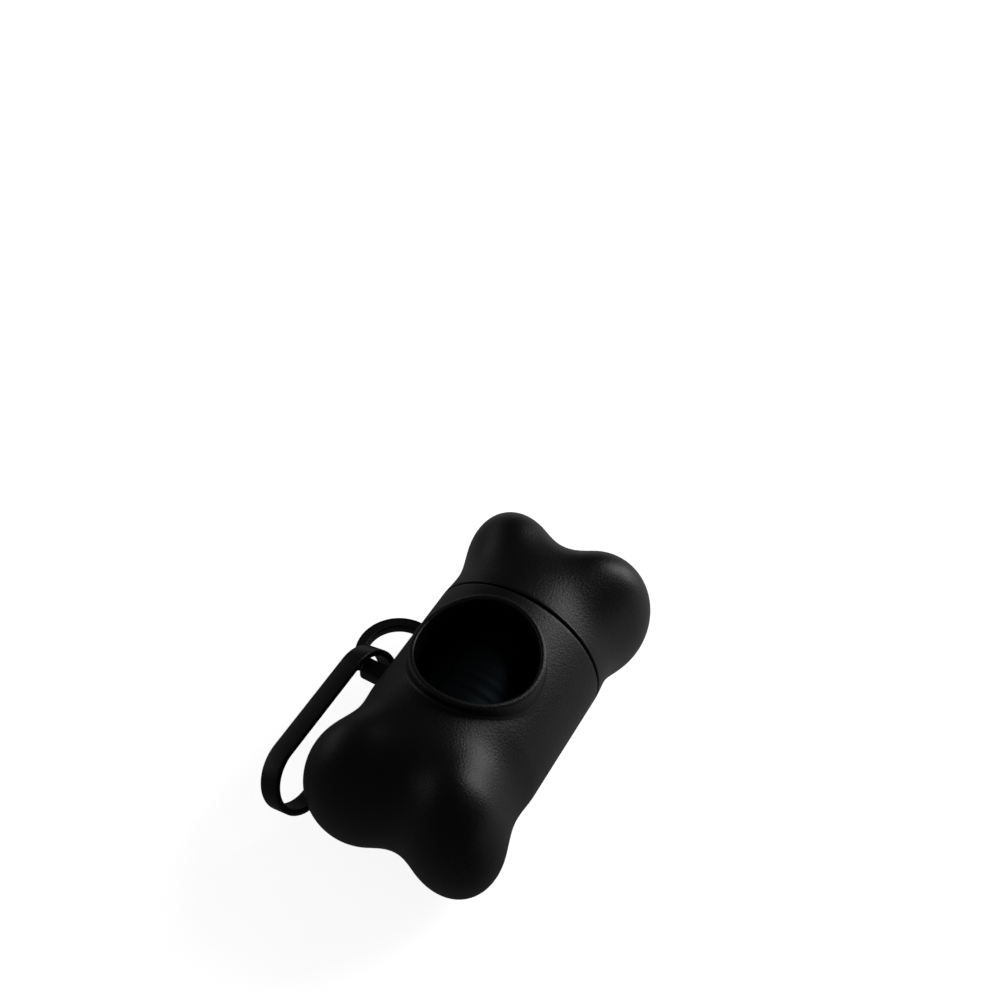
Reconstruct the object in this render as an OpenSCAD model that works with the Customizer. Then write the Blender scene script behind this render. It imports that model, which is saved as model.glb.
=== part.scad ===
// Bone-shaped dispenser for a roll of dog waste bags, with a push-on end cap and a sprung hook.
// Millimetres. X runs along the bone towards the cap, Y across its lobes, Z up through the opening.
// The origin is on the bone's axis, midway between its ends.

/* [Bags] */
// Radius of the roll of bags
roll_r = 15; // [13:0.1:17]
// Length of the roll of bags
roll_len = 60; // [54:1:70]
// Outer radius of the card core
core_r = 6.3; // [5:0.1:8]
// Wall thickness of the card core
core_wall = 0.9; // [0.6:0.1:1.5]
// Clearance between the wound pieces
wrap_fit = 0.05; // [0.02:0.01:0.1]
// Thickness of the first bag's folded film
film_t = 0.35; // [0.2:0.05:0.5]
// Height that the first bag's loose end lifts off the roll
tail_lift = 0.8; // [0.4:0.1:1.2]
// Turn of the first bag round the roll, in degrees
tail_wrap = 300; // [240:5:320]

/* [Bone] */
// Wall thickness of the body and the cap
wall = 2.2; // [1.8:0.1:2.6]
// Room all round the roll of bags
bag_room = 3.8; // [3.4:0.1:6]
// Room past each end of the roll, before the round middle's own end
end_room = 2; // [1.9:0.1:8]
// Rounding of the ends of the round middle, across the bone
tube_round = 19; // [17:0.1:20]
// Length over which the ends of the round middle ease off, along the bone
tube_ease = 20; // [17:0.1:21]
// Distance of each lobe's centre from the end of the round middle, along the bone
lobe_inset = 3.1; // [2.5:0.1:5]
// Distance of each lobe's centre from the axis, across the bone
lobe_y = 9.8; // [9:0.1:11]
// Slope at which the two lobes of an end draw apart
lobe_spread = 0.25; // [0:0.01:0.3]
// Half size of a lobe along the bone, towards its tip
lobe_len = 12.6; // [11:0.1:14]
// Half size of a lobe along the bone, towards the middle
lobe_tail = 14; // [12:0.1:14.4]
// Half size of a lobe across the bone
lobe_r = 13.1; // [12:0.1:14]
// How far the top of each lobe stays below the top of the barrel
lobe_dip = 0.9; // [0.2:0.1:2]
// Width of the flat that the bone stands on
belly_w = 6.6; // [4:0.2:10]
// Width of the blend between lobes and middle
blend = 6.7; // [4:0.1:7]
// Width of the blend in the notch between two lobes
notch_blend = 8.9; // [6:0.1:10]

/* [Opening] */
// Place of the bag opening along the bone
hole_x = -4.4; // [-8:0.2:-3]
// Radius of the bag opening
hole_r = 13.3; // [10:0.1:14]
// Thickness of the raised collar round the opening
collar_wall = 1.5; // [1.2:0.1:2.2]
// Height of the collar's top over the round middle
collar_rise = 2.25; // [1.5:0.05:4]
// Radius of the curve that the collar's top follows across the bone
collar_curve = 38; // [30:1:80]

/* [Seam] */
// Place of the seam between body and cap
seam_x = 14; // [13.6:0.1:17]
// Width of the seam's dark gap
seam_gap = 0.5; // [0.3:0.1:1]
// Length of the neck that the cap slides over
neck_len = 5.5; // [4.5:0.5:6]
// Step from the skin down to the neck
neck_step = 1.6; // [1.4:0.1:1.9]
// Wall thickness of the neck
neck_wall = 1.3; // [1:0.1:1.6]
// Radial clearance of the cap on the neck
neck_fit = 0.08; // [0.05:0.01:0.1]
// Width of the two ribs that keep the cap's lobes in line
rib_w = 2.4; // [1.6:0.2:4]
// Height of those ribs over the neck
rib_h = 0.5; // [0.3:0.1:0.6]
// Clearance of each rib in its slot
rib_fit = 0.15; // [0.1:0.05:0.3]
// Room past the neck's end in the cap
neck_room = 0.6; // [0.4:0.1:1.5]

/* [Ear] */
// Height of the ear's top face, below the bone's axis
ear_drop = 1.5; // [0.8:0.1:3]
// Thickness of the ear's bail
bail_t = 2.5; // [2:0.1:3.5]
// Width of the ear's bail
bail_w = 2.6; // [2:0.1:3.5]
// Outer radius of the bail's arch
bail_r = 10; // [9.2:0.1:11]
// Reach of the bail from the round middle
ear_reach = 12.4; // [11.6:0.1:15]
// Place of the arch's middle along the bone
ear_x = 1.1; // [0.5:0.1:2]
// Distance from the arch's middle to the middle of the post
post_off = 6.1; // [5.6:0.1:6.6]
// Reach of the post from the round middle
post_reach = 8.1; // [7:0.1:9]
// Width of the post
post_w = 4; // [3:0.1:5]
// Height of the post
post_h = 4.8; // [3.6:0.1:6]
// Edge rounding of the post
post_round = 1.4; // [0.6:0.1:1.7]

/* [Hook] */
// Length of the hook over its middle line
hook_len = 42; // [36:0.5:50]
// Distance between the hook's two legs, middle to middle
hook_gap = 16.8; // [15:0.2:20]
// Thickness of the hook's strip
hook_t = 1.5; // [1.2:0.1:1.8]
// Width of the hook's strip
hook_w = 4.8; // [3.6:0.1:5]
// Lean of the hook from upright
hook_lean = 18.5; // [10:0.5:25]
// Dip of the hook's free end
hook_dip = 5.5; // [0:0.5:10]
// Clearance between the post and the hook's bend
post_clear = 1.85; // [1.5:0.05:2.5]
// Distance from the top of the arch in to the middle of the hook's bend
bail_clear = 4.7; // [4.4:0.1:5.2]
// Distance from the middle of the bail down to the middle of the hook's bend
hook_sag = 1.55; // [1.2:0.05:3]
// Clearance between the lobe and the hook's free end
lobe_clear = 2.2; // [1.6:0.1:4]
// Length of the leg from the free end to the nose's tip
nose_reach = 27; // [22:0.5:30]
// Length of the thick nose
nose_len = 7.6; // [5:0.2:10]
// Thickness of the nose
nose_t = 2.6; // [2:0.1:3.2]
// Width of the mouth between the nose and the hook's back end
mouth = 7; // [5:0.5:8]

/* [Hidden] */
$fn = 64;
around = 64;          // skin points round the bone
search = 16;          // halvings in the search for the skin
far_out = 50;         // a length that always lies outside the bone
embed = 1.1;          // depth to which an added piece is sunk into the wall
ear_sink = 0.75;      // share of the wall that the ear is sunk into
lift_turn = 50;       // degrees over which the first bag's loose end lifts
loose_end = 160;      // degrees from straight down to the first bag's loose end
film_step = 5;        // degrees between the points of the first bag's section
body_r = roll_r + bag_room + wall;
belly_z = -sqrt(pow(body_r, 2) - pow(belly_w / 2, 2));
tube_half = roll_len / 2 + end_room + wall;
lobe_x = tube_half - lobe_inset;
lobe_rise = body_r - lobe_dip;
fan_x = lobe_x - 0.7 * lobe_r;
collar_r = hole_r + collar_wall;
collar_top = body_r + collar_rise;
neck_r = body_r - neck_step;
neck_bore = neck_r - neck_wall;
neck_start = hole_x + hole_r + 0.7;
cap_x = seam_x + seam_gap;
socket_len = neck_len - seam_gap + neck_room;
arch_y = body_r + ear_reach - bail_r;
bail_z = -ear_drop - bail_t / 2;
post_x = ear_x - post_off;
hook_r = hook_gap / 2;
hook_x = post_x + post_w / 2 + post_clear + hook_t / 2;
hook_y = body_r + ear_reach - bail_w - bail_clear;
hook_z = bail_z - hook_sag;
free_end_y = lobe_y + lobe_r + lobe_clear + hook_w / 2;
hook_swing = atan2(free_end_y - hook_y, hook_len - hook_r);
leg_end = nose_reach - hook_len;
back_end = leg_end + mouth;

black = [0.07, 0.07, 0.075];
card = [0.55, 0.43, 0.3];
film = [0.1, 0.1, 0.105];

// Smallest of two distances, with a rounded blend of width k where they meet.
function smooth_min(a, b, k) = min(a, b) - k / 4 * pow(max(k - abs(a - b), 0) / k, 2);

// Signed distance to the round middle, drawn in by w.
function tube_d(p, w) =
    let (
        r = norm([p.y, p.z]) - body_r + tube_round,
        e = (abs(p.x) - tube_half + tube_ease) * tube_round / tube_ease
    )
    norm([max(r, 0), max(e, 0)]) - (tube_round - w) + min(max(r, e), 0);

// Near distance to one lobe, drawn in by w: an ellipsoid on side s, longer towards the middle, and leaning.
function lobe_d(p, s, w) =
    let (
        k = lobe_r - w,
        u = abs(p.x) - lobe_x,
        y = p.y - s * (lobe_y + lobe_spread * u)
    )
    norm([u * k / ((u > 0 ? lobe_len : lobe_tail) - w), y, p.z * k / (lobe_rise - w)]) - k;

// The bone's skin, drawn in by w.
function skin_d(p, w) =
    smooth_min(tube_d(p, w), smooth_min(lobe_d(p, 1, w), lobe_d(p, -1, w), notch_blend), blend);

// The inside follows the skin, but is no wider than the round bore that its core is drawn through.
function inside_d(p, w) = w == 0 ? skin_d(p, 0) : max(skin_d(p, w), norm([p.y, p.z]) - body_r + w);

// Length along a ray from o to the skin, by halving.
function reach(o, d, w, lo, hi, n) =
    n == 0 ? (lo + hi) / 2
    : let (m = (lo + hi) / 2)
      inside_d(o + d * m, w) < 0 ? reach(o, d, w, m, hi, n - 1) : reach(o, d, w, lo, m, n - 1);

// One ring of skin points: rays leave the axis at x, leaning by the angle tip towards the end on side s.
function ring(s, x, tip, w) = [
    for (i = [0:around - 1])
    let (
        a = i * 360 / around,
        o = [x, 0, 0],
        d = [s * sin(tip), cos(tip) * cos(a), cos(tip) * sin(a)]
    )
    o + d * reach(o, d, w, 0, far_out, search)
];

// Rings from x to the end on side s: straight ones first, then a fan over the end.
function rings(s, x, w, straight, fan) = concat(
    [for (i = [0:straight]) ring(s, x + (s * fan_x - x) * i / straight, 0, w)],
    [for (i = [1:fan - 1]) ring(s, s * fan_x, 90 * i / fan, w)]
);

// The tip of the skin on the axis.
function pole(s, w) = [s * (fan_x + reach([s * fan_x, 0, 0], [s, 0, 0], w, 0, far_out, search)), 0, 0];

// Two triangles between neighbouring rings, from point i, with the rings' first points at a and b.
function strip(a, b, i) =
    let (j = (i + 1) % around)
    [[a + i, b + i, b + j], [a + i, b + j, a + j]];

// A closed shell of wall w on side s of x: skin, inside and the flat edge that joins them.
module half_bone(s, x, w, straight, fan) {
    skin = rings(s, x, 0, straight, fan);
    inside = rings(s, x, w, straight, fan);
    count = len(skin);
    start = count * around;
    points = concat(
        [for (r = skin) each r],
        [for (r = inside) each r],
        [pole(s, 0), pole(s, w)]
    );
    tips = [2 * start, 2 * start + 1];
    outer = [for (k = [0:count - 2], i = [0:around - 1]) each strip(k * around, (k + 1) * around, i)];
    inner = [
        for (k = [0:count - 2], i = [0:around - 1], t = strip(start + k * around, start + (k + 1) * around, i))
        [t[2], t[1], t[0]]
    ];
    edge = [for (i = [0:around - 1], t = strip(start, 0, i)) t];
    last = (count - 1) * around;
    ends = [
        for (i = [0:around - 1])
        let (j = (i + 1) % around)
        each [[last + i, tips[0], last + j], [start + last + j, tips[1], start + last + i]]
    ];
    faces = concat(outer, inner, edge, ends);
    polyhedron(points, s > 0 ? faces : [for (f = faces) [f[2], f[1], f[0]]]);
}

// What lies under the flat that the bone stands on.
module below_belly() {
    translate([-far_out, -far_out, belly_z - far_out])
        cube([2 * far_out, 2 * far_out, far_out]);
}

// A tube along the bone from x, of outer radius r and bore b.
module bone_tube(x, length, r, b) {
    translate([x, 0, 0])
        rotate([0, 90, 0])
            rotate_extrude($fn = 128)
                translate([b, 0])
                    square([r - b, length]);
}

// The raised collar, cut below inside the wall and above to its curved top.
module collar() {
    difference() {
        intersection() {
            translate([hole_x, 0, 0])
                cylinder(r = collar_r, h = far_out, $fn = 128);
            translate([hole_x - far_out, 0, collar_top - collar_curve])
                rotate([0, 90, 0])
                    cylinder(r = collar_curve, h = 2 * far_out, $fn = 256);
        }
        translate([-far_out, 0, 0])
            rotate([0, 90, 0])
                cylinder(r = body_r - embed, h = 2 * far_out, $fn = 128);
    }
}

// The neck with its two ribs, held in the body's wall at its root.
module neck() {
    bone_tube(neck_start, seam_x - neck_start, body_r - embed, neck_bore);
    bone_tube(seam_x - embed, neck_len + embed, neck_r, neck_bore);
    for (turn = [0, 180])
        rotate([turn, 0, 0])
            translate([seam_x - embed, neck_r - embed / 2, -rib_w / 2])
                cube([neck_len + embed, rib_h + embed / 2, rib_w]);
}

// A rounded rectangle from exact arcs.
module round_rect(x0, y0, x1, y1, r) {
    for (x = [x0 + r, x1 - r], y = [y0 + r, y1 - r])
        translate([x, y])
            circle(r);
    translate([x0 + r, y0])
        square([x1 - x0 - 2 * r, y1 - y0]);
    translate([x0, y0 + r])
        square([x1 - x0, y1 - y0 - 2 * r]);
}

// The outline of the bail's arch with radius r: its legs run in to the axis, and what lies left of x is cut off.
module arch(r, x) {
    intersection() {
        union() {
            translate([ear_x, arch_y])
                circle(r, $fn = 96);
            translate([ear_x - r, 0])
                square([2 * r, arch_y]);
        }
        translate([x, 0])
            square(far_out);
    }
}

// The ear: a thick post and a thin bail that returns to the body, so that the hook can't come off.
module ear() {
    root = body_r - ear_sink * wall;
    translate([0, 0, bail_z - bail_t / 2])
        linear_extrude(bail_t)
            intersection() {
                difference() {
                    arch(bail_r, post_x - post_w / 2);
                    arch(bail_r - bail_w, post_x);
                }
                translate([-far_out, root])
                    square([2 * far_out, far_out]);
            }
    translate([post_x, body_r + post_reach, -ear_drop - post_h / 2])
        rotate([90, 0, 0])
            linear_extrude(body_r + post_reach - root)
                round_rect(-post_w / 2, -post_h / 2, post_w / 2, post_h / 2, post_round);
}

module body_shell() {
    color(black)
        difference() {
            union() {
                half_bone(-1, seam_x, wall, 10, 18);
                collar();
                neck();
                ear();
            }
            translate([hole_x, 0, 0])
                cylinder(r = hole_r, h = far_out, $fn = 128);
            below_belly();
        }
}

module end_cap() {
    slot_h = rib_h + rib_fit;
    slot_w = rib_w + 2 * rib_fit;
    color(black)
        difference() {
            half_bone(1, cap_x, wall, 5, 18);
            bone_tube(cap_x - embed, socket_len + embed, neck_r + neck_fit, 0);
            for (turn = [0, 180])
                rotate([turn, 0, 0])
                    translate([cap_x - embed, neck_r - slot_h, -slot_w / 2])
                        cube([socket_len + embed, 2 * slot_h, slot_w]);
            below_belly();
        }
}

// The hook's strip with radius r at its two bends, solid.
module stadium(r) {
    for (x = [-hook_r, hook_r - hook_len])
        translate([x, 0])
            circle(r);
    translate([hook_r - hook_len, -r])
        square([hook_len - 2 * hook_r, 2 * r]);
}

// The hook's outline in its own plane, with its bend in the ear at the origin.
module hook_outline() {
    difference() {
        stadium(hook_r + hook_t / 2);
        stadium(hook_r - hook_t / 2);
        translate([leg_end, -hook_gap])
            square([mouth, hook_gap]);
    }
    translate([back_end, -hook_r])
        circle(hook_t / 2);
    round_rect(leg_end - nose_len, -hook_r - hook_t / 2, leg_end, nose_t - hook_r - hook_t / 2, nose_t / 2 - 0.05);
}

module clip_hook() {
    color(black)
        translate([hook_x, hook_y, hook_z])
            rotate([0, 0, -hook_swing])
                rotate([0, -hook_dip, 0])
                    rotate([90 - hook_lean, 0, 0])
                        translate([0, 0, -hook_w / 2])
                            linear_extrude(hook_w)
                                hook_outline();
}

module roll_core() {
    color(card)
        bone_tube(-roll_len / 2, roll_len, core_r, core_r - core_wall);
}

module bag_roll() {
    color(film)
        bone_tube(-roll_len / 2, roll_len, roll_r, core_r + wrap_fit);
}

// The first bag: it hugs the roll and its loose end lifts towards the opening.
module lead_bag() {
    rest = tail_wrap - lift_turn;
    function lift(a) = tail_lift * pow(max(a - rest, 0) / lift_turn, 2);
    function at(r, a) = (r + lift(a)) * [cos(a), sin(a)];
    inner = roll_r + wrap_fit;
    color(film)
        translate([1 - roll_len / 2, 0, 0])
            rotate([0, 90, 0])
                rotate([0, 0, loose_end - tail_wrap])
                    linear_extrude(roll_len - 2)
                        polygon(concat(
                            [for (a = [0:film_step:tail_wrap]) at(inner, a)],
                            [for (a = [tail_wrap:-film_step:0]) at(inner + film_t, a)]
                        ));
}

body_shell();
end_cap();
clip_hook();
roll_core();
bag_roll();
lead_bag();
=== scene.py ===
"""A black bone-shaped dispenser of dog waste bags, with a push-on end cap and a sprung hook on its ear.

Sizes are in millimetres, in the frame's own place: X along the bone to the cap, Y across its lobes, Z up.
"""
import math

import bmesh
import bpy
import numpy as np
from mathutils import Matrix, Vector


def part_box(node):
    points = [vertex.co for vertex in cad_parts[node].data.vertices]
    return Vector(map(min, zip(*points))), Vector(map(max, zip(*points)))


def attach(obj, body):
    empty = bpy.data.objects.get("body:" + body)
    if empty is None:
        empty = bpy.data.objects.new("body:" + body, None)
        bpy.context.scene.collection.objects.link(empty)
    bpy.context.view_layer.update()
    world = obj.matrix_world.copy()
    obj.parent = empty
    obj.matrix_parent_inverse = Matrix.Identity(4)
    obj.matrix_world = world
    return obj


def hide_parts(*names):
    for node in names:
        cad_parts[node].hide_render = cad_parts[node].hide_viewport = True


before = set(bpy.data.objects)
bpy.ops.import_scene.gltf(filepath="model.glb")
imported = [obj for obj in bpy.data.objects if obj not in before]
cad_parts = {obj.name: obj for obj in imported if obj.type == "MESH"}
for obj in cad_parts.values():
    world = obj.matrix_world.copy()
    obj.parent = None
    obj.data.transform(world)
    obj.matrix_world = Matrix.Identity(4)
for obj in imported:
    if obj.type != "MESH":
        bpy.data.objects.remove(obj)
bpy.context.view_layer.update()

MM = 0.001


def node_box(name):
    """The lowest and highest corner of a frame node, in millimetres."""
    low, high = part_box(name)
    return np.array(low) / MM, np.array(high) / MM


ROLL_HIGH = node_box("bag_roll")[1]
SHELL_LOW, SHELL_HIGH = node_box("body_shell")

# The bone
WALL = 2.2
BAG_ROOM = 3.8
END_ROOM = 2.0
ROLL_R = ROLL_HIGH[2]
ROLL_HALF = ROLL_HIGH[0]
BODY_R = ROLL_R + BAG_ROOM + WALL
TUBE_HALF = ROLL_HALF + END_ROOM + WALL
TUBE_ROUND = 19.0
TUBE_EASE = 20.0
LOBE_INSET = 3.1
LOBE_X = TUBE_HALF - LOBE_INSET
LOBE_Y = 9.8
LOBE_SPREAD = 0.25
LOBE_LEN = 12.6
LOBE_TAIL = 14.0
LOBE_R = 13.1
LOBE_DIP = 0.9
LOBE_RISE = BODY_R - LOBE_DIP
BLEND = 6.7
NOTCH_BLEND = 8.9
BELLY_Z = SHELL_LOW[2]
FAN_SHARE = 0.7
FAN_X = LOBE_X - FAN_SHARE * LOBE_R

# The opening
HOLE_X = -4.4
HOLE_R = 13.3
COLLAR_WALL = 1.5
COLLAR_R = HOLE_R + COLLAR_WALL
COLLAR_TOP = SHELL_HIGH[2]
COLLAR_CURVE = 38.0
COLLAR_FILLET = 0.7
RIM_EDGE = 0.7
WINDOW_TURN = 60.0
WINDOW_LEFT = -FAN_X
WINDOW_RIGHT = 2 * HOLE_X + FAN_X
WINDOW_COLS = 54

# The seam, the neck with its ribs, and the cap's socket with its slots
SEAM_X = 14.0
CAP_X = node_box("end_cap")[0][0]
LIP = 0.4
NECK_STEP = 1.6
NECK_WALL = 1.3
NECK_MARGIN = 0.7
NECK_R = BODY_R - NECK_STEP
NECK_BORE = NECK_R - NECK_WALL
NECK_END = SHELL_HIGH[0]
NECK_START = HOLE_X + HOLE_R + NECK_MARGIN
NECK_FOOT = 0.2
NECK_EDGE = 0.3
RIB_HALF = 1.2
RIB_RISE = 0.5
RIB_FROM = SEAM_X + 0.25
RIB_TO = NECK_END - 0.8
RIB_BAND = 0.2
SOCKET_FIT = 0.08
SOCKET_ROOM = 0.6
SOCKET_EDGE = 0.3
SOCKET_R = NECK_R + SOCKET_FIT
SOCKET_END = NECK_END + SOCKET_ROOM
SLOT_FIT = 0.15
SLOT_RISE = RIB_RISE + SLOT_FIT

# The ear: a bail, and the post that it ends on
EAR_TOP = -1.5
EAR_X = 1.1
EAR_SINK = 1.6
EAR_ROOT = BODY_R - EAR_SINK
BAIL_T = 2.5
BAIL_W = 2.6
BAIL_R = 10.0
BAIL_ARC = 141.0
BAIL_EDGE = 0.45
BAIL_TIP = 0.3
BAIL_FLARE = 0.3
ARCH_Y = SHELL_HIGH[1] - BAIL_R
POST_SHIFT = 6.1
POST_REACH = 8.1
POST_X = EAR_X - POST_SHIFT
POST_END = BODY_R + POST_REACH
POST_W = 4.0
POST_H = 4.8
POST_EDGE = 1.2
POST_TIP = 0.8
POST_FLARE = 0.2

# The hook
HOOK_LEN = 42.0
HOOK_R = 8.4
HOOK_T = 1.5
HOOK_W = 4.8
HOOK_EDGE = 0.35
HOOK_TIP = 0.6
HOOK_LEAN = 18.5
HOOK_DIP = 5.5
HOOK_BESIDE_POST = 1.85
HOOK_IN_BAIL = 4.7
HOOK_SAG = 1.55
HOOK_CLEAR = 2.2
NOSE_TIP = -15.0
NOSE_END = 0.7
NOSE_LEN = 7.6
NOSE_RUN = 2.2
NOSE_T = 2.6
BACK_END = -8.0
HOOK_PLACE = np.array([
    POST_X + POST_W / 2 + HOOK_BESIDE_POST + HOOK_T / 2,
    SHELL_HIGH[1] - BAIL_W - HOOK_IN_BAIL,
    EAR_TOP - BAIL_T / 2 - HOOK_SAG,
])
FREE_END_Y = LOBE_Y + LOBE_R + HOOK_CLEAR + HOOK_W / 2
HOOK_SWING = math.degrees(math.atan2(FREE_END_Y - HOOK_PLACE[1], HOOK_LEN - HOOK_R))

# The bags
CORE_R = 6.3
CORE_FIT = 0.05
ROLL_TURNS = 22.0
FILM_T = 0.3
TAIL_WRAP = 300.0
TAIL_LIFT = 0.75
LIFT_TURN = 50.0
LOOSE_END = 160.0

# How finely the surfaces are made: points in a ring and in a rounded corner, halvings of a ray and how far it
# reaches, how near two rows lie at a sharp step, how near points are merged, and which angles stay sharp
AROUND = 192
CORNER_POINTS = 6
HALVINGS = 40
RAY_REACH = 60.0
ROW_STEP = 0.1
MERGE = 0.002
SHARP_ANGLE = 35.0

# The stage, in metres, and the photograph's view, in millimetres and degrees
FLOOR_HALF = 1.6
LAMP_DISTANCE = 0.9
CAMERA_PLACE = (-165.9, -86.6, 273.6)
CAMERA_AZIMUTH = -152.78
CAMERA_ELEVATION = 48.08
CAMERA_ROLL = 2.88
LENS = 53.19
SENSOR = 36.0


# ---------------------------------------------------------------- meshes

def grid_faces(rows, cols, closed):
    """Quads between neighbouring rows of a grid. With closed, the last column joins the first."""
    i = np.arange(rows - 1)[:, None] * cols
    j = np.arange(cols if closed else cols - 1)[None, :]
    k = (j + 1) % cols
    return np.stack([i + j, i + k, i + cols + k, i + cols + j], -1).reshape(-1, 4)


def piece(name, surfaces, body, replaced, material):
    """One closed mesh from grids of points, each (rows, columns, closed): equal points are merged, faces turned
    outwards and edges of more than SHARP_ANGLE kept sharp. It rides on a body, stands in for a node of the frame and
    has a named slot for its material."""
    points, faces, start = [], [], 0
    for grid, closed in surfaces:
        rows, cols = grid.shape[:2]
        points.append(grid.reshape(-1, 3) * MM)
        faces.append(grid_faces(rows, cols, closed) + start)
        start += rows * cols
    mesh = bpy.data.meshes.new(name)
    mesh.from_pydata(np.concatenate(points), [], np.concatenate(faces).tolist())
    work = bmesh.new()
    work.from_mesh(mesh)
    bmesh.ops.remove_doubles(work, verts=work.verts, dist=MERGE * MM)
    bmesh.ops.recalc_face_normals(work, faces=work.faces)
    work.to_mesh(mesh)
    work.free()
    mesh.shade_smooth()
    mesh.set_sharp_from_angle(angle=math.radians(SHARP_ANGLE))
    mesh.materials.append(material)
    thing = bpy.data.objects.new(name, mesh)
    bpy.context.scene.collection.objects.link(thing)
    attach(thing, body)
    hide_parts(replaced)
    return thing


def smooth_step(value, low, high):
    """0 below low, 1 above high, and 3t^2 - 2t^3 between them."""
    t = np.clip((value - low) / (high - low), 0, 1)
    return t * t * (3 - 2 * t)


# ---------------------------------------------------------------- the bone's skin

def smooth_min(a, b, width):
    """The smaller of a and b, less width/4 times the square of how far the two overlap within width."""
    return np.minimum(a, b) - width / 4 * (np.maximum(width - np.abs(a - b), 0) / width) ** 2


def lobe_distance(p, side, inset):
    """Near distance to one lobe: an ellipsoid stretched to a sphere of its middle radius. It is longer towards the
    middle, and its centre line leans outwards as y = LOBE_Y + LOBE_SPREAD times the way along the bone."""
    radius = LOBE_R - inset
    along = np.abs(p[..., 0]) - LOBE_X
    x = along * radius / (np.where(along > 0, LOBE_LEN, LOBE_TAIL) - inset)
    y = p[..., 1] - side * (LOBE_Y + LOBE_SPREAD * along)
    z = p[..., 2] * radius / (LOBE_RISE - inset)
    return np.sqrt(x ** 2 + y ** 2 + z ** 2) - radius


def skin_distance(p, inset):
    """Distance to the bone's skin, drawn in by inset: a cylinder whose ends ease off, softly joined to four lobes.
    The inside is no wider than the round bore of its core."""
    across = np.hypot(p[..., 1], p[..., 2])
    r = across - BODY_R + TUBE_ROUND
    e = (np.abs(p[..., 0]) - TUBE_HALF + TUBE_EASE) * TUBE_ROUND / TUBE_EASE
    tube = np.hypot(np.maximum(r, 0), np.maximum(e, 0)) - (TUBE_ROUND - inset) + np.minimum(np.maximum(r, e), 0)
    lobes = smooth_min(lobe_distance(p, 1, inset), lobe_distance(p, -1, inset), NOTCH_BLEND)
    skin = smooth_min(tube, lobes, BLEND)
    return np.maximum(skin, across - BODY_R + inset) if inset else skin


def cast(x, direction, inset, y=0.0):
    """Where rays from (x, y, 0) meet the skin drawn in by inset, by halving each ray. The belly is cut flat."""
    near = np.zeros(direction.shape[:-1])
    far = near + RAY_REACH
    origin = np.stack([x + near, y + near, near], -1)
    for _ in range(HALVINGS):
        middle = (near + far) / 2
        inside = skin_distance(origin + direction * middle[..., None], inset) < 0
        near = np.where(inside, middle, near)
        far = np.where(inside, far, middle)
    points = origin + direction * near[..., None]
    points[..., 2] = np.maximum(points[..., 2], BELLY_Z)
    return points


def barrel(x, angle, inset):
    """The skin at x, angle degrees round from +Y towards +Z: rays square to the axis."""
    x, a = np.broadcast_arrays(x, np.radians(angle))
    return cast(x, np.stack([0 * a, np.cos(a), np.sin(a)], -1), inset)


def end_fan(side, inset):
    """The skin over the end on one side: rays from one point of the axis, leaning from 0 to 90 degrees."""
    tip, a = np.meshgrid(np.radians(np.linspace(0, 90, 61)), ring_angles(), indexing="ij")
    direction = np.stack([side * np.sin(tip), np.cos(tip) * np.cos(a), np.cos(tip) * np.sin(a)], -1)
    return cast(side * FAN_X, direction, inset)


def ring_angles():
    """The angles of one full ring, in radians."""
    return np.arange(AROUND) * 2 * math.pi / AROUND


def turned(profile, rise=0.0, rise_from=0.0, rise_to=0.0):
    """A profile of (x, radius) carried round the axis. Between two places along X, the radius rises by rise over the
    width of the two side ribs."""
    a = ring_angles()[None, :]
    x, r = np.array(profile, float).T[:, :, None]
    off_rib = np.abs(np.sin(a)) * NECK_R
    rib = (off_rib < RIB_HALF) & (x >= rise_from) & (x <= rise_to) & (np.abs(r - NECK_R) < RIB_BAND)
    r = r + rise * rib
    points = np.stack([x + 0 * a, r * np.cos(a), r * np.sin(a)], -1)
    points[..., 2] = np.maximum(points[..., 2], BELLY_Z)
    return points


def rounded_corner(x, r, radius, start, end, steps=5):
    """Points of a profile's corner: an arc round (x, r) from start to end degrees, measured from +X."""
    a = np.radians(np.linspace(start, end, steps))
    return [(x + radius * math.cos(t), r + radius * math.sin(t)) for t in a]


# ---------------------------------------------------------------- body shell

def window_edge(right, inset):
    """The skin under a rectangle round the opening: the rings at its two ends, and the lines along its two sides."""
    turn = np.linspace(90 - WINDOW_TURN, 90 + WINDOW_TURN, round(AROUND * WINDOW_TURN / 180) + 1)
    x = np.linspace(WINDOW_LEFT, right, WINDOW_COLS + 1)
    along = np.concatenate([0 * turn[:-1] + WINDOW_LEFT, x[:-1], 0 * turn[:0:-1] + right, x[:0:-1]])
    angle = np.concatenate([turn[:-1], 0 * x[:-1] + turn[-1], turn[:0:-1], 0 * x[:0:-1] + turn[0]])
    return barrel(along, angle, inset)


def under(flat, inset):
    """The skin straight under (x, y) points seen from above."""
    up = np.zeros((len(flat), 3)) + [0, 0, 1]
    return cast(flat[:, 0], up, inset, flat[:, 1])


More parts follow.
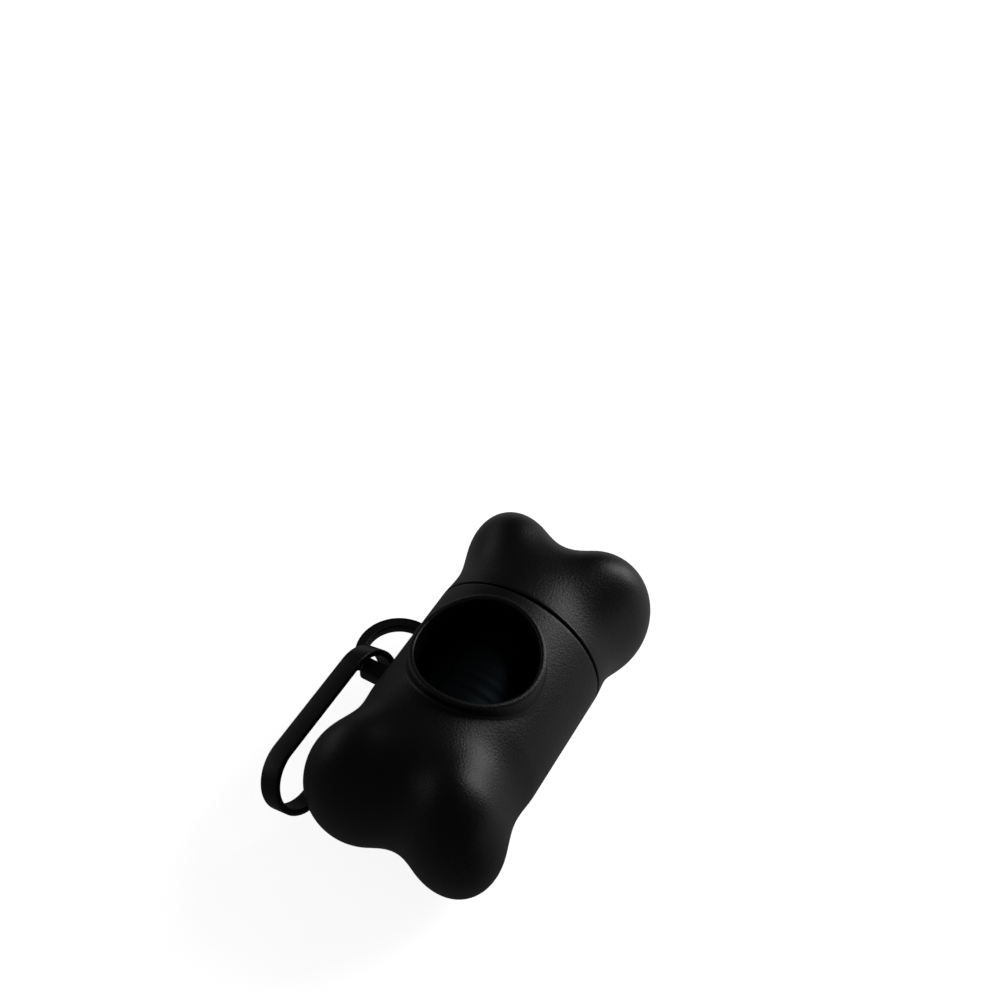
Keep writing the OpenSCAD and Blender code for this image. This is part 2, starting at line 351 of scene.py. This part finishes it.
def collar_surface():
    """The skin round the opening, the collar's foot, wall, rim and bore, and the inner skin, as one grid. Each column
    runs from the outer rectangle to the inner one, and each row goes once round the opening."""
    outer = window_edge(WINDOW_RIGHT, 0.0)
    inner = window_edge(NECK_START, WALL)
    turn = np.arctan2(outer[:, 1], outer[:, 0] - HOLE_X)

    def ring(radius):
        """A circle round the opening, seen from above."""
        return np.stack([HOLE_X + radius * np.cos(turn), radius * np.sin(turn)], -1)

    def lifted(radius, drop):
        """A ring of the collar's top: its height is an arc across the bone, less drop."""
        flat = ring(radius)
        height = COLLAR_TOP - COLLAR_CURVE + np.sqrt(COLLAR_CURVE ** 2 - flat[:, 1] ** 2) - drop
        return np.concatenate([flat, height[:, None]], 1)

    foot = ring(COLLAR_R + COLLAR_FILLET)
    rows = [outer]
    rows += [under(outer[:, :2] + (foot - outer[:, :2]) * t, 0.0) for t in np.linspace(0, 1, 9)[1:]]
    start = rows[-1]
    corner = under(ring(COLLAR_R), 0.0)
    wall_foot = corner + [0, 0, 0.8 * COLLAR_FILLET]
    rows += [start * (1 - t) ** 2 + corner * 2 * t * (1 - t) + wall_foot * t * t for t in np.linspace(0, 1, 8)[1:]]
    wall_top = lifted(COLLAR_R, RIM_EDGE)
    rows += [wall_foot + (wall_top - wall_foot) * t for t in (0.33, 0.67, 1)]
    quarter = np.radians(np.linspace(0, 90, CORNER_POINTS))
    rows += [lifted(COLLAR_R - RIM_EDGE * (1 - math.cos(t)), RIM_EDGE * (1 - math.sin(t))) for t in quarter[1:]]
    rows += [lifted(HOLE_R + RIM_EDGE * (1 - math.cos(t)), RIM_EDGE * (1 - math.sin(t))) for t in quarter[::-1]]
    bore_top = rows[-1]
    bore_foot = under(ring(HOLE_R), WALL)
    rows += [bore_top + (bore_foot - bore_top) * t for t in (0.25, 0.5, 0.75, 1)]
    rows += [under(ring(HOLE_R) + (inner[:, :2] - ring(HOLE_R)) * t, WALL) for t in np.linspace(0, 1, 7)[1:-1]]
    return np.stack([*rows, inner])


def body_shell_surfaces():
    """Collar, the rest of the barrel inside and out, the lobed end, and the lip and neck at the seam."""
    around = np.linspace(90 + WINDOW_TURN, 450 - WINDOW_TURN, round(AROUND * (360 - 2 * WINDOW_TURN) / 360) + 1)
    outside = np.linspace(WINDOW_LEFT, WINDOW_RIGHT, WINDOW_COLS + 1)[:, None]
    inside = np.linspace(WINDOW_LEFT, NECK_START, WINDOW_COLS + 1)[:, None]
    lip = rounded_corner(SEAM_X - LIP, BODY_R - LIP, LIP, 85, 0)
    lip += [(SEAM_X, NECK_R + NECK_FOOT), (SEAM_X + NECK_FOOT / 4, NECK_R + NECK_FOOT / 4)]
    lip += [(SEAM_X + NECK_FOOT, NECK_R)]
    lip += [(x, NECK_R) for x in np.linspace(RIB_FROM + ROW_STEP / 2, RIB_TO - ROW_STEP, 6)]
    lip += [(RIB_TO + ROW_STEP, NECK_R)]
    lip += rounded_corner(NECK_END - NECK_EDGE, NECK_R - NECK_EDGE, NECK_EDGE, 90, 0)
    lip += rounded_corner(NECK_END - NECK_EDGE, NECK_BORE + NECK_EDGE, NECK_EDGE, 0, -90)
    lip += [(NECK_START + 2 * NECK_EDGE, NECK_BORE), (NECK_START, NECK_BORE)]
    angles = np.degrees(ring_angles())
    lip = [barrel([[WINDOW_RIGHT]], angles, 0.0), turned(lip, RIB_RISE, RIB_FROM, RIB_TO),
           barrel([[NECK_START]], angles, WALL)]
    return [
        (collar_surface(), True),
        (barrel(outside, around, 0.0), False),
        (barrel(inside, around, WALL), False),
        (end_fan(-1, 0.0), True),
        (end_fan(-1, WALL), True),
        (np.concatenate(lip), True),
    ]


def end_cap_surfaces():
    """The cap's skin, its lobed end inside and out, and the socket with its two slots."""
    angles = np.degrees(ring_angles())
    lip = rounded_corner(CAP_X + LIP, BODY_R - LIP, LIP, 95, 180)
    slot_from = CAP_X + SOCKET_EDGE + ROW_STEP / 2
    slot_to = SOCKET_END - ROW_STEP / 2
    lip += [(CAP_X, SOCKET_R + SOCKET_EDGE), (CAP_X + SOCKET_EDGE, SOCKET_R)]
    lip += [(x, SOCKET_R) for x in np.linspace(slot_from + ROW_STEP / 2, slot_to - ROW_STEP / 2, 6)]
    lip += [(SOCKET_END, SOCKET_R)]
    lip = [barrel([[CAP_X + LIP]], angles, 0.0), turned(lip, SLOT_RISE, slot_from, slot_to),
           barrel([[SOCKET_END]], angles, WALL)]
    return [
        (barrel(np.linspace(CAP_X + LIP, FAN_X, 13)[:, None], angles, 0.0), True),
        (end_fan(1, 0.0), True),
        (np.concatenate(lip), True),
        (barrel(np.linspace(SOCKET_END, FAN_X, 2)[:, None], angles, WALL), True),
        (end_fan(1, WALL), True),
    ]


# ---------------------------------------------------------------- bars: ear and hook

def bar(path, along, across, width, height, edge, end_edge):
    """A rounded rectangle carried along a path: width lies along across, height square to it. Each end is drawn in
    over a quarter turn of radius end_edge and closed at a point."""
    quarter = np.radians(np.linspace(90, 0, CORNER_POINTS))[:-1]
    reach, shrink = end_edge * np.sin(quarter), end_edge * (1 - np.cos(quarter))
    head = path[:1] - along[:1] * reach[:, None]
    tail = (path[-1:] + along[-1:] * reach[:, None])[::-1]
    points = np.concatenate([head, path, tail])
    count = len(quarter)
    less = np.concatenate([shrink, np.zeros(len(path)), shrink[::-1]])
    pad = ((count, count),)
    w = np.pad(width, pad, mode="edge") - 2 * less
    h = np.pad(height, pad, mode="edge") - 2 * less
    t = np.pad(along, (*pad, (0, 0)), mode="edge")
    s = np.pad(across, (*pad, (0, 0)), mode="edge")
    up = np.cross(t, s)
    radius = np.minimum(edge, 0.45 * np.minimum(w, h))
    turn = np.radians(np.arange(0, 360, 90)[:, None] + np.linspace(0, 90, CORNER_POINTS))
    middle = turn.mean(1)
    turn = turn.reshape(1, -1)
    sign_u = np.sign(np.cos(middle)).repeat(CORNER_POINTS)[None]
    sign_v = np.sign(np.sin(middle)).repeat(CORNER_POINTS)[None]
    u = sign_u * (w / 2 - radius)[:, None] + radius[:, None] * np.cos(turn)
    v = sign_v * (h / 2 - radius)[:, None] + radius[:, None] * np.sin(turn)
    rows = points[:, None] + u[..., None] * s[:, None] + v[..., None] * up[:, None]
    pole_a = np.repeat(points[None, :1], rows.shape[1], 1)
    pole_b = np.repeat(points[None, -1:], rows.shape[1], 1)
    return np.concatenate([pole_a, rows, pole_b])


def arc(x, y, radius, start, end, steps):
    """Points of an arc round (x, y) from start to end degrees."""
    a = np.radians(np.linspace(start, end, steps))
    return np.stack([x + radius * np.cos(a), y + radius * np.sin(a)], -1)


def directions(path):
    """Unit vectors along a path, from its neighbouring points."""
    step = np.gradient(path, axis=0)
    return step / np.linalg.norm(step, axis=1, keepdims=True)


def ear_surfaces():
    """The bail, a flat bar in a half-round arch that flares into the skin, and the thick post."""
    middle = BAIL_R - BAIL_W / 2
    leg_x = EAR_X + middle
    leg = np.stack([np.full(9, leg_x), np.linspace(EAR_ROOT, ARCH_Y, 10)[:-1]], -1)
    flat = np.concatenate([leg, arc(EAR_X, ARCH_Y, middle, 0, BAIL_ARC, 48)])
    path = np.concatenate([flat, np.full((len(flat), 1), EAR_TOP - BAIL_T / 2)], 1)
    up = np.tile([0.0, 0.0, 1.0], (len(path), 1))
    flare = 1 + BAIL_FLARE * (1 - smooth_step(path[:, 1], BODY_R - 0.3, BODY_R + 1.3)) * (path[:, 0] > leg_x - 1)
    bail = bar(path, directions(path), up, np.full(len(path), BAIL_T), BAIL_W * flare, BAIL_EDGE, BAIL_TIP)
    y = np.linspace(EAR_ROOT, POST_END - POST_TIP, 16)
    post_path = np.stack([0 * y + POST_X, y, 0 * y + EAR_TOP - POST_H / 2], -1)
    up = np.tile([0.0, 0.0, 1.0], (len(y), 1))
    flare = 1 + POST_FLARE * (1 - smooth_step(y, BODY_R - 0.6, BODY_R + 1.2))
    post = bar(post_path, directions(post_path), up, 0 * y + POST_H, POST_W * flare, POST_EDGE, POST_TIP)
    return [(bail, True), (post, True)]


def hook_turn():
    """The hook's turn from its own plane to the frame: lean, dip, then swing."""
    swing = Matrix.Rotation(math.radians(-HOOK_SWING), 3, "Z")
    dip = Matrix.Rotation(math.radians(-HOOK_DIP), 3, "Y")
    lean = Matrix.Rotation(math.radians(90 - HOOK_LEAN), 3, "X")
    return np.array(swing @ dip @ lean)


def hook_surfaces():
    """A strip bent to a long loop: from its back end round the ear, along the top, round the free end and back to
    the thickened nose."""
    far = HOOK_R - HOOK_LEN
    start = math.degrees(math.asin((BACK_END + HOOK_R) / HOOK_R)) - 90
    top_x = np.linspace(-HOOK_R, far, 40)[1:-1]
    nose_x = np.linspace(far, NOSE_TIP - NOSE_END, 60)[1:]
    flat = np.concatenate([
        arc(-HOOK_R, 0, HOOK_R, start, 90, 60),
        np.stack([top_x, 0 * top_x + HOOK_R], -1),
        arc(far, 0, HOOK_R, 90, 270, 60),
        np.stack([nose_x, 0 * nose_x - HOOK_R], -1),
    ])
    swell = np.zeros(len(flat))
    nose_start = NOSE_TIP - NOSE_LEN
    swell[-len(nose_x):] = (NOSE_T - HOOK_T) * smooth_step(nose_x, nose_start, nose_start + NOSE_RUN)
    flat[:, 1] += swell / 2
    path = np.concatenate([flat, np.zeros((len(flat), 1))], 1)
    depth = np.tile([0.0, 0.0, 1.0], (len(path), 1))
    strip = bar(path, directions(path), depth, np.full(len(path), HOOK_W), HOOK_T + swell, HOOK_EDGE, HOOK_TIP)
    return [(strip @ hook_turn().T + HOOK_PLACE, True)]


# ---------------------------------------------------------------- bags

def wound_roll_surfaces():
    """The wound bags: a tube whose ends show the edges of a spiral, each turn a little in or out, and whose outside
    has low folds round it."""
    bore = CORE_R + CORE_FIT
    a = ring_angles()[None, :]

    def edge_step(r):
        """How far a turn of film stands in from the end: a value that changes from turn to turn."""
        layer = np.floor((r - bore) / (ROLL_R - bore) * ROLL_TURNS - a / (2 * math.pi))
        return 0.22 + 0.2 * np.sin(layer * 2.4) + 0.05 * np.sin(3 * a + layer)

    def face(side):
        """One end face, from the bore out."""
        r = np.linspace(bore, ROLL_R - 0.25, 110)[:, None]
        x = side * (ROLL_HALF - edge_step(r) * smooth_step(r, bore, bore + 0.4))
        return np.stack([x, r * np.cos(a), r * np.sin(a)], -1)

    left, right = face(-1), face(1)
    x = np.linspace(ROLL_HALF - 0.35, 0.35 - ROLL_HALF, 121)[:, None]
    folds = 0.1 * np.sin(x * 0.9) ** 8 + 0.05 * np.sin(x * 2.3 + 2 * np.sin(a))
    r = ROLL_R - 0.16 + folds + 0 * a
    outside = np.stack([x + 0 * a, r * np.cos(a), r * np.sin(a)], -1)
    return [(np.concatenate([left[:1], right, outside, left[::-1]]), True)]


def lead_bag_surface():
    """The first bag round the roll: its angle runs to the loose end, which lifts as the square of the turn left, and
    the torn edge is a fine zigzag."""
    x = np.linspace(-1, 1, 160)[:, None] * (ROLL_HALF - 1.2)
    share = np.linspace(0, 1, 150)[None, :]
    zigzag = 0.7 * np.abs((x / 1.1) % 2 - 1) + 1.2 * np.sin(x * 0.13 + 1) ** 2
    turn = share * (TAIL_WRAP - zigzag)
    lift = TAIL_LIFT * np.clip((turn - TAIL_WRAP + LIFT_TURN) / LIFT_TURN, 0, 1) ** 2
    flutter = 1 + 0.25 * np.sin(x * 0.21 + 0.6)
    folds = 0.06 * np.sin(x * 0.75 + 0.4 * np.sin(np.radians(2 * turn))) ** 6
    r = ROLL_R + 0.06 + folds + lift * np.minimum(flutter, 1)
    a = np.radians(turn + LOOSE_END - TAIL_WRAP)
    inner = np.stack([x + 0 * a, r * np.sin(a), -r * np.cos(a)], -1)
    outward = inner * [0, 1, 1] / np.linalg.norm(inner[..., 1:], axis=-1, keepdims=True)
    outer = inner + outward * (FILM_T - 0.03)
    loop = np.concatenate([inner, outer[:, ::-1]], 1)
    ends = [np.stack([inner[i], outer[i]]) for i in (0, -1)]
    return [(loop, True), (ends[0], False), (ends[1], False)]


# ---------------------------------------------------------------- materials

def linear(hex_code):
    """An sRGB hex colour as linear RGBA: a channel c becomes ((c + 0.055) / 1.055)^2.4, or c / 12.92 near black."""
    channels = [int(hex_code[i:i + 2], 16) / 255 for i in (1, 3, 5)]
    return (*(c / 12.92 if c <= 0.04045 else ((c + 0.055) / 1.055) ** 2.4 for c in channels), 1.0)


def add(tree, kind, inputs=None, **settings):
    """Adds a node with its settings; inputs gives its sockets a value, or the socket that feeds them."""
    node = tree.nodes.new(kind)
    for name, value in settings.items():
        setattr(node, name, value)
    for name, value in (inputs or {}).items():
        if isinstance(value, bpy.types.NodeSocket):
            tree.links.new(value, node.inputs[name])
        else:
            node.inputs[name].default_value = value
    return node


def new_material(name):
    """An empty material, with its tree, its output and the surface's own coordinates."""
    material = bpy.data.materials.new(name)
    material.use_nodes = True
    tree = material.node_tree
    tree.nodes.clear()
    output = add(tree, "ShaderNodeOutputMaterial")
    place = add(tree, "ShaderNodeTexCoord").outputs["Object"]
    return material, tree, output, place


def per_mm(size):
    """The scale of a pattern whose features are size millimetres apart."""
    return 1 / (size * MM)


def moulded_plastic(name, colour, rough, grain_size, grain_depth, dust):
    """A black moulding: a pebbled grain that spreads highlights to a soft sheen, handling marks that change the
    sheen in patches, and a few specks of dust, in the given share of the cells of a pattern."""
    material, tree, output, place = new_material(name)
    grain = add(tree, "ShaderNodeTexNoise", {
        "Vector": place, "Scale": per_mm(grain_size), "Detail": 2.0, "Roughness": 0.6})
    patches = add(tree, "ShaderNodeTexNoise", {"Vector": place, "Scale": per_mm(16), "Detail": 3.0})
    sheen = add(tree, "ShaderNodeMapRange", {
        "Value": patches.outputs["Fac"], "From Min": 0.35, "From Max": 0.65, "To Min": rough - 0.035,
        "To Max": rough + 0.035})
    pits = add(tree, "ShaderNodeBump", {
        "Height": grain.outputs["Fac"], "Strength": 1.0, "Distance": grain_depth * MM})
    cells = add(tree, "ShaderNodeTexVoronoi", {"Vector": place, "Scale": per_mm(7), "Randomness": 1.0})
    chosen = add(tree, "ShaderNodeMath", {0: cells.outputs["Color"], 1: 1 - dust}, operation="GREATER_THAN")
    near = add(tree, "ShaderNodeMath", {0: cells.outputs["Distance"], 1: 0.022}, operation="LESS_THAN")
    speck = add(tree, "ShaderNodeMath", {0: chosen.outputs[0], 1: near.outputs[0]}, operation="MULTIPLY")
    tint = add(tree, "ShaderNodeMix", {
        "Factor": speck.outputs[0], "A": linear(colour), "B": linear("#8C8A86")}, data_type="RGBA")
    plastic = add(tree, "ShaderNodeBsdfPrincipled", {
        "Base Color": tint.outputs["Result"], "Roughness": sheen.outputs["Result"], "IOR": 1.46,
        "Normal": pits.outputs["Normal"]})
    tree.links.new(plastic.outputs["BSDF"], output.inputs["Surface"])
    return material


def polythene_film(name, colour, rough):
    """Blown black film: a little waxy, dimmer in its sheen than the mouldings, with fine creases round the roll."""
    material, tree, output, place = new_material(name)
    stretched = add(tree, "ShaderNodeMapping", {"Vector": place, "Scale": (3.0, 0.6, 0.6)})
    creases = add(tree, "ShaderNodeTexNoise", {
        "Vector": stretched.outputs["Vector"], "Scale": per_mm(3.2), "Detail": 3.0, "Distortion": 0.4})
    bent = add(tree, "ShaderNodeBump", {"Height": creases.outputs["Fac"], "Strength": 0.4, "Distance": 0.1 * MM})
    film = add(tree, "ShaderNodeBsdfPrincipled", {
        "Base Color": linear(colour), "Roughness": rough, "IOR": 1.51, "Specular IOR Level": 0.2,
        "Specular Tint": linear("#A8C8DC"), "Normal": bent.outputs["Normal"]})
    tree.links.new(film.outputs["BSDF"], output.inputs["Surface"])
    return material


def wound_card():
    """Brown kraft card, spirally wound: long fibres, and a seam every 24 mm along the tube."""
    material, tree, output, place = new_material("wound_kraft_card")
    fibres = add(tree, "ShaderNodeTexNoise", {"Vector": place, "Scale": per_mm(0.8), "Detail": 4.0})
    blotches = add(tree, "ShaderNodeTexNoise", {"Vector": place, "Scale": per_mm(6), "Detail": 2.0})
    spiral = add(tree, "ShaderNodeTexWave", {
        "Vector": place, "Scale": per_mm(24 * 3.2), "Distortion": 1.0}, bands_direction="DIAGONAL")
    shade = add(tree, "ShaderNodeMix", {
        "Factor": blotches.outputs["Fac"], "A": linear("#8F7350"), "B": linear("#B8966B")}, data_type="RGBA")
    height = add(tree, "ShaderNodeMath", {
        0: fibres.outputs["Fac"], 1: spiral.outputs["Fac"]}, operation="ADD")
    felt = add(tree, "ShaderNodeBump", {"Height": height.outputs[0], "Strength": 0.4, "Distance": 0.06 * MM})
    card = add(tree, "ShaderNodeBsdfPrincipled", {
        "Base Color": shade.outputs["Result"], "Roughness": 0.85, "Normal": felt.outputs["Normal"]})
    tree.links.new(card.outputs["BSDF"], output.inputs["Surface"])
    return material


# ---------------------------------------------------------------- floor, lamps and camera

def floor_paper(shown_white, painted_light_level, painted_shade_level):
    """Matte white paper. What the camera sees of it, directly or through something clear, is lifted to white, so that
    only a light shadow stays. Glossy surfaces don't mirror the paper. They mirror a glow: painted light on the
    window's side of the bone, fading to painted shade on the far side, as if the paper lay in a dark room."""
    material, tree, output, place = new_material("white_paper")
    ray = add(tree, "ShaderNodeLightPath").outputs
    seen = add(tree, "ShaderNodeMath", {
        0: ray["Is Camera Ray"], 1: ray["Is Transmission Ray"]}, operation="MAXIMUM")
    lift = add(tree, "ShaderNodeMath", {0: seen.outputs[0], 1: shown_white}, operation="MULTIPLY")
    paper = add(tree, "ShaderNodeBsdfPrincipled", {
        "Base Color": linear("#F2F2F0"), "Roughness": 0.9, "Emission Color": (1, 1, 1, 1),
        "Emission Strength": lift.outputs[0]})
    # Painted light and painted shade that only glossy rays see: an emission that is bright towards the window and dim
    # on the bone's far side.
    towards = add(tree, "ShaderNodeVectorMath", {0: place, 1: (0.84, -0.54, 0.0)}, operation="DOT_PRODUCT")
    painted_glow_ramp = add(tree, "ShaderNodeMapRange", {
        "Value": towards.outputs["Value"], "From Min": -0.02, "From Max": 0.08, "To Min": painted_shade_level, "To Max": painted_light_level})
    painted_floor_glow = add(tree, "ShaderNodeEmission", {"Strength": painted_glow_ramp.outputs["Result"]})
    either = add(tree, "ShaderNodeMixShader", {
        0: ray["Is Glossy Ray"], 1: paper.outputs["BSDF"], 2: painted_floor_glow.outputs["Emission"]})
    tree.links.new(either.outputs["Shader"], output.inputs["Surface"])
    return material


def make_floor():
    """A level plane at the belly's height, wide enough to fill the picture."""
    corners = [(x * FLOOR_HALF, y * FLOOR_HALF, BELLY_Z * MM) for x, y in ((-1, -1), (1, -1), (1, 1), (-1, 1))]
    mesh = bpy.data.meshes.new("floor")
    mesh.from_pydata(corners, [], [(0, 1, 2, 3)])
    mesh.materials.append(floor_paper(shown_white=0.9, painted_light_level=0.34, painted_shade_level=0.06))
    floor = bpy.data.objects.new("floor", mesh)
    bpy.context.scene.collection.objects.link(floor)


def window_lamp(name, towards, width, height, radiance):
    """A soft rectangular lamp that faces the bone, of a given brightness: its power is pi x area x radiance. The
    camera doesn't see it."""
    lamp = bpy.data.lights.new(name, "AREA")
    lamp.shape = "RECTANGLE"
    lamp.size, lamp.size_y = width, height
    lamp.energy = math.pi * width * height * radiance
    thing = bpy.data.objects.new(name, lamp)
    direction = Vector(towards).normalized()
    thing.location = direction * LAMP_DISTANCE
    thing.rotation_euler = direction.to_track_quat("Z", "Y").to_euler()
    thing.visible_camera = False
    bpy.context.scene.collection.objects.link(thing)


def make_world(brightness):
    """An even, dim room, which the camera sees as white as the paper."""
    world = bpy.data.worlds.new("room")
    world.use_nodes = True
    tree = world.node_tree
    seen = add(tree, "ShaderNodeLightPath").outputs["Is Camera Ray"]
    level = add(tree, "ShaderNodeMath", {0: seen, 1: 1.0, 2: brightness}, operation="MULTIPLY_ADD")
    background = tree.nodes["Background"].inputs
    background["Color"].default_value = (1, 1, 1, 1)
    tree.links.new(level.outputs[0], background["Strength"])
    bpy.context.scene.world = world


def make_camera():
    """The photograph's view: the lens's place, its direction by azimuth and elevation, and its roll."""
    place = Vector(CAMERA_PLACE) * MM
    azimuth, elevation, roll = (math.radians(v) for v in (CAMERA_AZIMUTH, CAMERA_ELEVATION, CAMERA_ROLL))
    back = Vector((math.cos(elevation) * math.cos(azimuth), math.cos(elevation) * math.sin(azimuth),
                   math.sin(elevation)))
    level = Vector((0, 0, 1)).cross(back).normalized()
    up = back.cross(level)
    right = level * math.cos(roll) + up * math.sin(roll)
    up = back.cross(right)
    camera = bpy.data.cameras.new("camera")
    camera.lens = LENS
    camera.sensor_width = SENSOR
    camera.clip_start = 0.01
    thing = bpy.data.objects.new("camera", camera)
    thing.matrix_world = Matrix.Translation(place) @ Matrix((right, up, back)).transposed().to_4x4()
    bpy.context.scene.collection.objects.link(thing)
    bpy.context.scene.camera = thing


# ---------------------------------------------------------------- the scene

shell_plastic = moulded_plastic(
    "spark_eroded_black_abs", "#0B0B0C", rough=0.42, grain_size=0.5, grain_depth=0.085, dust=0.06)
hook_plastic = moulded_plastic(
    "satin_black_acetal", "#0B0B0C", rough=0.36, grain_size=0.25, grain_depth=0.01, dust=0.05)
film_plastic = polythene_film("black_ldpe_film", "#08090B", rough=0.5)

piece("shell_skin", body_shell_surfaces(), "body", "body_shell", shell_plastic)
piece("shell_ear", ear_surfaces(), "body", "body_shell", shell_plastic)
piece("cap_skin", end_cap_surfaces(), "cap", "end_cap", shell_plastic)
piece("hook_strip", hook_surfaces(), "hook", "clip_hook", hook_plastic)
piece("wound_bags", wound_roll_surfaces(), "roll", "bag_roll", film_plastic)
piece("first_bag", lead_bag_surface(), "roll", "lead_bag", film_plastic)
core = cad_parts["roll_core"]
core.data.materials.clear()
core.data.materials.append(wound_card())

make_floor()
make_world(0.05)
window_lamp("window", (0.78, -0.47, 0.42), width=0.45, height=0.85, radiance=3.3)
window_lamp("far_wall", (-0.1, 0.97, 0.2), width=1.0, height=0.36, radiance=0.5)
make_camera()
bpy.context.scene.view_settings.view_transform = "Standard"
